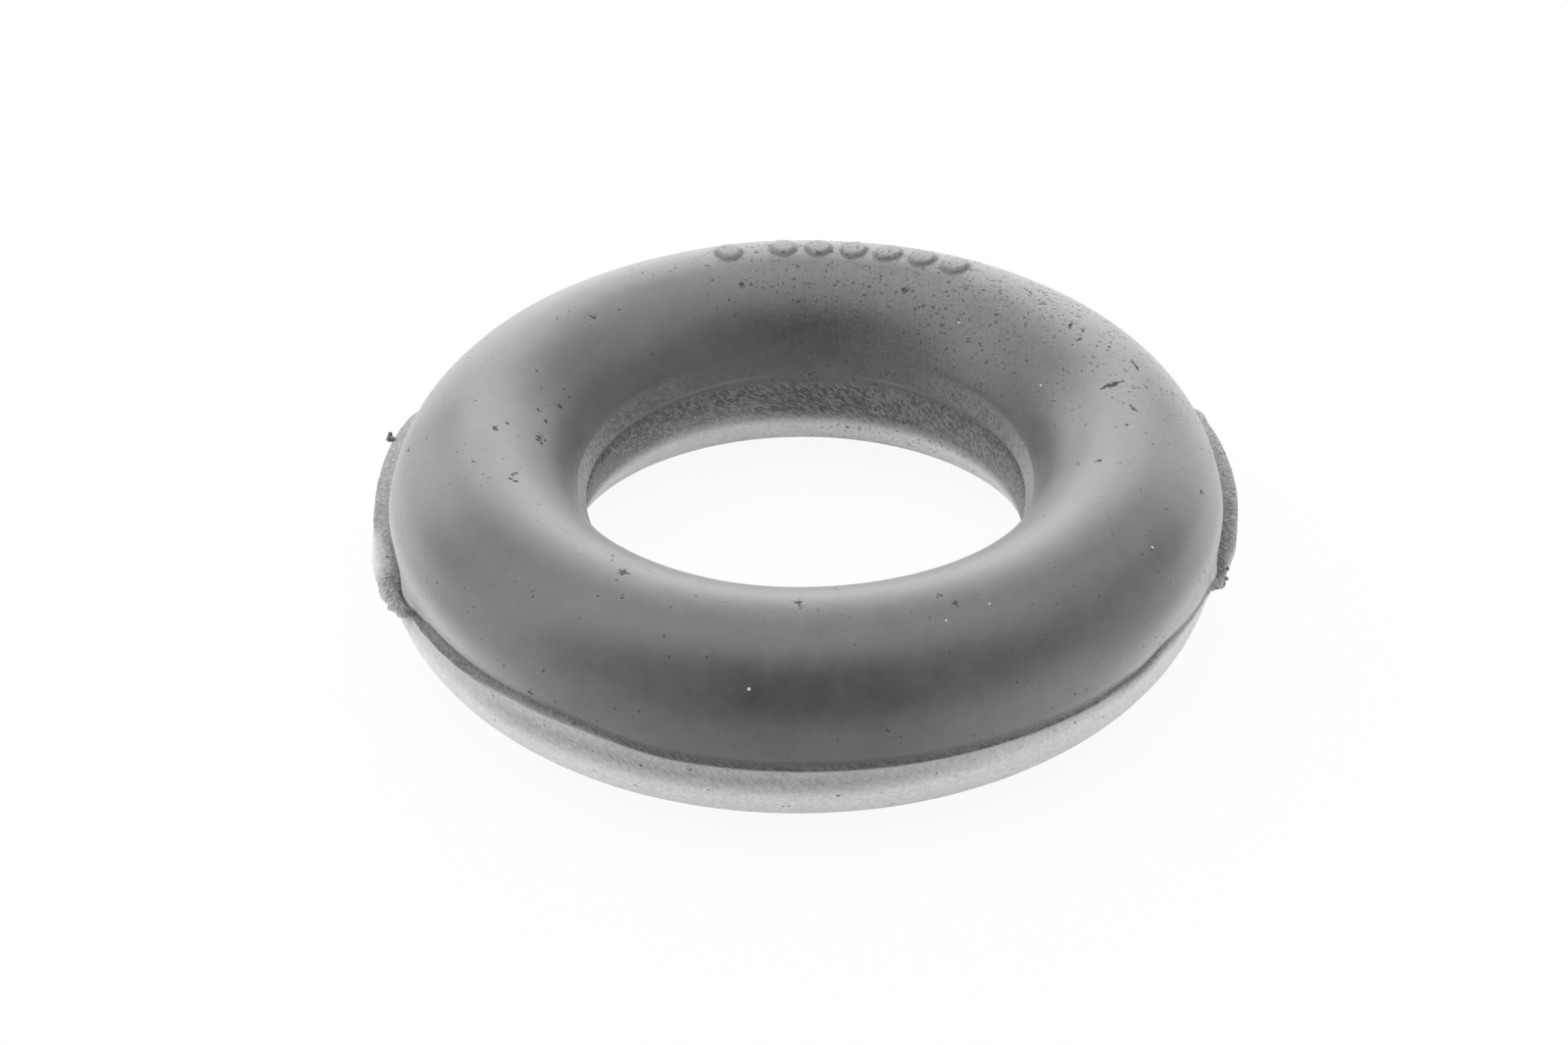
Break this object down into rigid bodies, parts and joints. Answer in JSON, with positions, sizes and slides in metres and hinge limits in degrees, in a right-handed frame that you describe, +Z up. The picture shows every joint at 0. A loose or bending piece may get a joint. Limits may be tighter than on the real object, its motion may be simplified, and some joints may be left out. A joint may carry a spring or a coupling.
{
  "type": "exhaust hanger rubber",
  "caption": "Thick solid rubber ring with a rounded section and a parting fin, stretched between hooks to carry an exhaust pipe under a car.",
  "frame": {"origin": "on the ground under the middle of the hole", "axes": "+Z up along the axis of the hole, +X through the right flash tab, -Y towards the front of the picture"},
  "size_m": [0.0646, 0.0627, 0.0158],
  "materials": {
    "rubber": "satin grey-black moulded rubber, smooth on the upper half and finely pitted on the lower half"
  },
  "bodies": {
    "root": {"hanger_ring": "rubber"}
  },
  "joints": []
}
